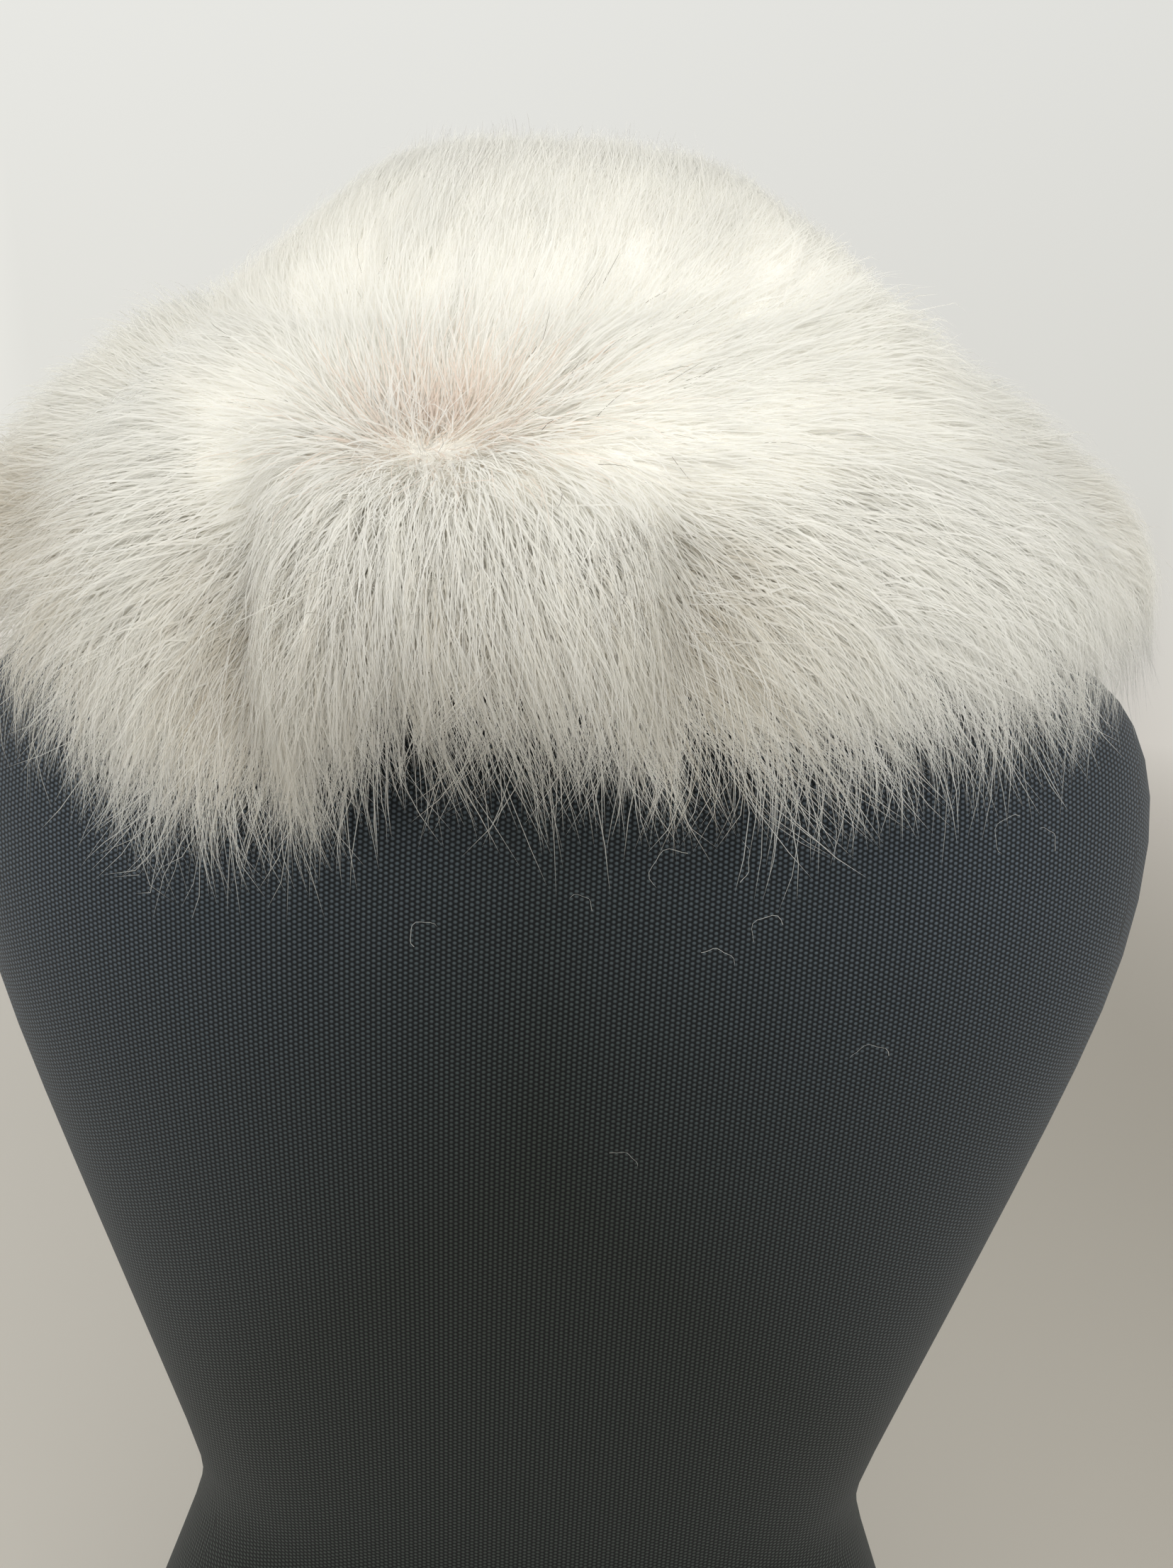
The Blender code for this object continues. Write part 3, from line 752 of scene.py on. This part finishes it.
# A growth's hairs are long metres, rise from low to high as shares of the pile and end by the place of reach.
Growth = namedtuple(
    "Growth",
    "name count shares angles places long low high wisp width tuft_pull lock_pull spread reach uneven tone",
)
GROWTHS = [
    Growth(
        "undercoat", 23000, COARSE_SHARES, (0, 179), (0, 4.0), 0.030, 0.76, 0.975, 0.0005,
        (0.00045, 0.00070), 0.25, 0.15, 0.0022, 4.15, 0.60, 0.60,
    ),
    Growth(
        "guard_hair_back", 27000, FINE_SHARES, (0, 98), (0, 4.3), 0.047, 0.74, 1.00, 0.0012,
        (0.00020, 0.00034), 0.40, 0.25, 0.0021, 4.74, 1.10, 0.64,
    ),
    Growth(
        "guard_hair_front", 17000, COARSE_SHARES, (98, 179), (0, 4.3), 0.044, 0.70, 1.00, 0.0014,
        (0.00026, 0.00044), 0.42, 0.25, 0.0023, 5.15, 0.80, 0.64,
    ),
    Growth(
        "hem_hair", 6500, FINE_SHARES, (0, 100), (3.3, 4.3), 0.068, 0.60, 0.98, 0.0024,
        (0.00022, 0.00034), 0.30, 0.30, 0.0035, 5.36, 1.05, 0.70,
    ),
    Growth(
        "dark_hair", 34, COARSE_SHARES, (9, 33), (1.3, 3.2), 0.009, 0.98, 1.03, 0.0010,
        (0.00012, 0.00018), 0.0, 0.0, 0.0060, 4.90, 0.20, 0.870,
    ),
]


def coat_density(pelt, angle, place):
    """More hair where the back shows it and where it is short, less at the front and at the hem."""
    short = 1 / short_share(pelt.parting_gap[..., 0])
    full = (1.0 - 0.42 * fall(angle, 95, 120)) * fall(place, 0.0, 0.5) * (1 - 0.85 * fall(place, 3.3, 4.3))
    return short * full * (1 - 0.70 * thin_hem(pelt, angle) * fall(place, 2.7, 3.5))


hair_pieces = {"left": [], "right": []}
for word, pelt in pelts.items():
    comb_pelt(pelt)
    chance = np.random.default_rng(41 if word == "left" else 42)
    lock_at = scatter(pelt, LOCKS, coat_density, chance)
    lock_sway, lock_bend = chance.normal(0, 0.11, LOCKS), chance.normal(0, 0.17, LOCKS)
    lock_bend += chance.normal(0, 0.22, LOCKS) * fall(lock_at[:, 1], 2.8, 3.6)
    lock_long, lock_high = chance.uniform(0.85, 1.15, LOCKS), chance.normal(0, 0.045, LOCKS)
    lock_reach = chance.uniform(4.50, 5.05, LOCKS)
    if word == "left":
        lock_reach += 0.22 * np.exp(-(((lock_at[:, 0] - 26) / 5) ** 2))
    tufts = LOCKS * TUFTS_PER_LOCK
    of_lock = np.repeat(np.arange(LOCKS), TUFTS_PER_LOCK)
    along, across = chance.normal(0, 0.0045, tufts), chance.normal(0, 0.0042, tufts)
    tuft_at = step_off(pelt, lock_at[of_lock], along, across)
    tuft_sway = lock_sway[of_lock] + chance.normal(0, 0.10, tufts)
    tuft_bend = lock_bend[of_lock] + chance.normal(0, 0.11, tufts)
    tuft_long = lock_long[of_lock] * chance.uniform(0.88, 1.12, tufts)
    tuft_high = lock_high[of_lock] + chance.normal(0, 0.03, tufts)
    tuft_reach = lock_reach[of_lock] + chance.normal(0, 0.05, tufts)
    tuft_tone = chance.normal(0, 0.03, tufts)

    def gap_at(at):
        """How far each root is from the parting, in metres."""
        return read_grid(pelt.parting_gap, on_pelt(at))[:, 0]

    def length_at(at, share):
        return share * short_share(gap_at(at))

    def mess_at(at):
        """How far each hair is turned out of the lie where it is tousled at the parting."""
        gap = gap_at(at)
        near = fall(gap, *NEAR_TOUSLED) + 1.2 * fall(gap, *NEAR_WHORL)
        return chance.normal(0, 1, len(at)) * TOUSLED * near

    def grow(kind):
        """Hairs of one kind, each in a tuft of a lock."""
        count, shares = kind.count, kind.shares
        lock_length = length_at(lock_at, kind.long * lock_long)
        lock_track = trail(pelt, lock_at, lock_length, lock_sway, lock_bend, lock_reach, shares)
        lock_low, lock_out = np.full(LOCKS, kind.low), np.zeros(LOCKS)
        lock_path, _ = stand(pelt, lock_track, lock_low, kind.high + lock_high, lock_out, shares)
        tuft_length = length_at(tuft_at, kind.long * tuft_long)
        tuft_turn = tuft_sway + mess_at(tuft_at)
        tuft_track = trail(pelt, tuft_at, tuft_length, tuft_turn, tuft_bend, tuft_reach, shares)
        tuft_low, tuft_out = np.full(tufts, kind.low), np.zeros(tufts)
        tuft_path, _ = stand(pelt, tuft_track, tuft_low, kind.high + tuft_high, tuft_out, shares)
        hem = fall(tuft_track[:, -1, 1], 4.0, 4.8)
        crest = fall(tuft_track[:, -1, 1], 1.6, 0.6)
        lock_pull = kind.lock_pull * (1 + 1.2 * hem) * (1 - crest)
        tuft_path = gather(tuft_path, lock_path[of_lock], lock_pull, shares)
        inside = np.ones(tufts, bool)
        for tuft_value, (low, high) in zip(tuft_at.T, (kind.angles, kind.places)):
            inside &= (tuft_value >= low) & (tuft_value <= high)
        near = np.flatnonzero(inside)
        of_tuft = near[chance.integers(0, len(near), count)]
        along, across = chance.normal(0, kind.spread, count), chance.normal(0, kind.spread, count)
        at = np.clip(step_off(pelt, tuft_at[of_tuft], along, across), (0, 0.02), (PILE_END, 4.7))
        stray = np.where(chance.uniform(size=count) < STRAY_SHARE, 1.0, 0.0)
        sway = tuft_sway[of_tuft] + chance.normal(0, 0.06, count) * (1 + 2 * stray) + mess_at(at)
        bend = tuft_bend[of_tuft] + chance.normal(0, 0.08, count) * (1 + 2 * stray)
        length = length_at(at, kind.long * tuft_long[of_tuft] * chance.uniform(0.80, 1.15, count))
        reach = kind.reach + np.interp(at[:, 0], *HEM_REACH[word]) + (tuft_reach[of_tuft] - 5.0) * 0.8
        reach += kind.uneven * (0.3 - chance.uniform(0, 1, count) ** 0.6)
        track = trail(pelt, at, length, sway, bend, reach, shares)
        gap = gap_at(at)
        tall = kind.high + tuft_high[of_tuft] + chance.normal(0, 0.03, count)
        tall += 0.05 * fall(gap, *NEAR_PARTING)
        out = np.abs(chance.normal(0, kind.wisp, count)) * (1 + stray)
        out += FRONT_FLARE * chance.uniform(0, 1, count) * fall(at[:, 0], *TO_FRONT_FLARE)
        root_high = kind.low + np.maximum(UNDERFUR_SHARE - kind.low, 0) * fall(gap, *NEAR_ROOTS_HIGH)
        root_high += chance.uniform(-0.08, 0.08, count)
        path, facing = stand(pelt, track, root_high, tall, out, shares)
        pull = kind.tuft_pull * (1 - 0.9 * stray) * chance.uniform(0.5, 1.1, count)
        pull *= 1 - 0.9 * crest[of_tuft]
        points = gather(path, tuft_path[of_tuft], pull * (1 + 0.5 * hem[of_tuft]), shares)
        return points, facing, of_tuft, track

    def tone_of(track, of_tuft, middle, count):
        """Each hair's tone, which is ivory on most of the coat.

        It is painted darker towards the hem, in the folds, under the lobe and where the coat is thin, which
        is painted shade, and pink where the skin shows at the parting. Growths that have a dark tone keep it.
        """
        angle, place = track[:, 0].T
        hem = fall(track[:, -1, 1], 3.2, 4.9)
        hollow = read_grid(pelt.hollow, on_pelt(track[:, 0]))[:, 0] * (1 - fall(place, 3.7, 4.1))
        edge = LOBE_EDGE[pelt.side]
        shade_under_lobe = fall(place, 3.1, 3.9) * (1 - fall(angle, edge - 4, edge + 8))
        thin = thin_hem(pelt, angle) * fall(place, *TO_THIN_HEM)
        tone = middle + tuft_tone[of_tuft] + chance.normal(0, 0.03, count)
        # Painted shade: the hair is darkened towards the hem, in the folds, under the lobe and where the coat
        # is thin.
        tone += -0.06 * hem - 0.20 * hollow - 0.22 * shade_under_lobe - 0.26 * thin
        tone = np.clip(tone, *LIGHT_TONES)
        pink_angle, pink_width, pink_place, pink_height = PINK_AT
        blush = ((pelt.side * angle - pink_angle) / pink_width) ** 2
        blush += ((place - pink_place) / pink_height) ** 2
        pink = chance.uniform(size=count) < PINK_SHARE * np.exp(-blush)
        tone = np.where(pink, chance.uniform(*PINK_TONES, count), tone)
        return np.where(middle > 0.7, middle, tone)

    for kind in GROWTHS:
        if kind.name == "dark_hair":
            kind = kind._replace(count=DARK_HAIRS[word])
        points, facing, of_tuft, track = grow(kind)
        width = chance.uniform(*kind.width, kind.count)
        width *= (1 - 0.35 * fall(track[:, -1, 1], 1.4, 0.6)) * (1 - 0.10 * fall(track[:, -1, 1], 3.9, 4.6))
        tone = tone_of(track, of_tuft, kind.tone, kind.count)
        hair_pieces[word].append(make_ribbons(kind.name + "_" + word, points, facing, width, tone, chance))

# Shed hairs
# A few single curled hairs have come off the hem and cling to the jersey on the form's back.

SHED_AT = [
    (-0.036, 0.556, 0.020, 0.4),
    (-0.050, 0.549, 0.014, 2.0),
    (-0.062, 0.538, 0.017, 1.1),
    (-0.041, 0.530, 0.013, 2.7),
    (-0.127, 0.566, 0.018, 0.9),
    (-0.139, 0.556, 0.012, 2.2),
    (-0.012, 0.540, 0.010, 1.6),
    (0.034, 0.528, 0.015, 0.2),
    (-0.020, 0.470, 0.012, 2.4),
    (-0.095, 0.500, 0.016, 1.4),
]
SHED_POINTS = 12
SHED_WIDTH = 0.00012
SHED_TONE = 0.60
SHED_HEIGHT = 0.0004

torso_tree = tree_of(torso.data)
chance = np.random.default_rng(43)
shed, shed_facing = np.empty((2, len(SHED_AT), SHED_POINTS, 3))
for index, (x, z, long, heading) in enumerate(SHED_AT):
    turning = chance.uniform(1.5, 4.0) * chance.choice((-1, 1))
    for k in range(SHED_POINTS):
        hit, normal, _, _ = torso_tree.ray_cast(Vector((x, 1.0, z)), Vector((0, -1, 0)))
        shed[index, k], shed_facing[index, k] = hit + normal * SHED_HEIGHT, normal
        heading += turning / SHED_POINTS + 0.4 * math.sin(1.3 * k + index)
        x += long / SHED_POINTS * math.cos(heading)
        z += long / SHED_POINTS * math.sin(heading)
shed_widths, shed_tones = np.full(len(SHED_AT), SHED_WIDTH), np.full(len(SHED_AT), SHED_TONE)
make_ribbons("shed_hairs", shed, shed_facing, shed_widths, shed_tones, chance)

for word, leather in leathers.items():
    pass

# Floor and light
# A pale floor that runs off into pale daylight, painted darker to the right and dark behind the camera as
# painted shade. The window is behind the camera, a little to its right.

# The right and behind colours are painted shade on the floor.
FLOOR_SHADE_PAINTED_RIGHT = "#BCB6AB"
FLOOR_LEFT = "#EAE5DC"
FLOOR_SHADE_PAINTED_BEHIND = "#3E3B37"
SKY_COLOURS = [
    (0.00, "#706C65"),
    (0.25, "#A59F96"),
    (0.42, "#D0CBC3"),
    (0.53, "#DDDCD6"),
    (0.70, "#E6E6E2"),
    (0.80, "#A6A6A6"),
    (1.00, "#7C7C7C"),
]
RIGHT_TO_LEFT = (0.88, 1.10)
FRONT_TO_BACK = (1.0, 1.12)
MIDDLE_TO_SIDES = (1.0, 1.95)

bpy.ops.object.select_all(action="DESELECT")
bpy.ops.mesh.primitive_circle_add(vertices=96, radius=6.0, fill_type="NGON", location=(0, 0, 0))
floor = bpy.context.active_object
floor.name = "floor"
painted, tree, shader = new_material("matt_floor_painted_shade")
place = add_node(tree, "ShaderNodeTexCoord").outputs["Object"]
distance = add_node(tree, "ShaderNodeVectorMath", {"operation": "LENGTH"}, _0=place).outputs["Value"]
fade = carry_over(tree, distance, (0.9, 4.5))
clear = add_node(tree, "ShaderNodeBsdfTransparent").outputs[0]
mixed = add_node(tree, "ShaderNodeMixShader", _0=fade, _1=shader.outputs[0], _2=clear)
tree.links.new(mixed.outputs[0], tree.nodes["Material Output"].inputs["Surface"])
x, y, _ = add_node(tree, "ShaderNodeSeparateXYZ", _0=place).outputs
# Painted shade: the floor turns darker to the right and dark on the camera's side.
painted_side_shade = mix_colours(tree, carry_over(tree, x, (-0.8, 0.8)), FLOOR_SHADE_PAINTED_RIGHT, FLOOR_LEFT)
shaded = mix_colours(tree, carry_over(tree, y, (-0.2, 0.25)), painted_side_shade, FLOOR_SHADE_PAINTED_BEHIND)
tree.links.new(shaded, shader.inputs["Base Color"])
set_inputs(shader, Roughness=0.9, Specular_IOR_Level=0.1)
floor.data.materials.append(painted)

# The daylight takes its colour from its height, and the walls on both sides are the brightest.
world = bpy.data.worlds.new("daylight")
world.use_nodes = True
tree = world.node_tree
ray = add_node(tree, "ShaderNodeTexCoord").outputs["Generated"]
x, y, z = add_node(tree, "ShaderNodeSeparateXYZ", _0=ray).outputs
sky = colour_ramp(tree, carry_over(tree, z, (-1.0, 1.0)), SKY_COLOURS)
leftwards = carry_over(tree, x, (-1.0, 1.0), RIGHT_TO_LEFT)
backwards = carry_over(tree, y, (-0.2, 0.5), FRONT_TO_BACK)
sideways = carry_over(tree, maths(tree, "ABSOLUTE", x), (0.42, 0.85), MIDDLE_TO_SIDES)
strength = maths(tree, "MULTIPLY", maths(tree, "MULTIPLY", leftwards, backwards), sideways)
tree.links.new(sky, tree.nodes["Background"].inputs["Color"])
tree.links.new(strength, tree.nodes["Background"].inputs["Strength"])
bpy.context.scene.world = world
bpy.context.scene.view_settings.view_transform = "Standard"

# The window is one soft rectangular light that looks at the collar's back.
WINDOW_PLACE = Vector((-0.10, 1.30, 1.20))
WINDOW_TARGET = Vector((0, 0.08, 0.62))
WINDOW_SIZE = (2.0, 0.9)
WINDOW_POWER = 15.6
WINDOW_COLOUR = "#FFFEFA"

window_data = bpy.data.lights.new("window_behind", "AREA")
window_data.shape = "RECTANGLE"
window_data.size, window_data.size_y = WINDOW_SIZE
window_data.energy = WINDOW_POWER
window_data.color = colour(WINDOW_COLOUR)[:3]
window = bpy.data.objects.new("window_behind", window_data)
bpy.context.scene.collection.objects.link(window)
window_turn = (WINDOW_TARGET - WINDOW_PLACE).to_track_quat("-Z", "Y").to_matrix().to_4x4()
window.matrix_world = Matrix.Translation(WINDOW_PLACE) @ window_turn
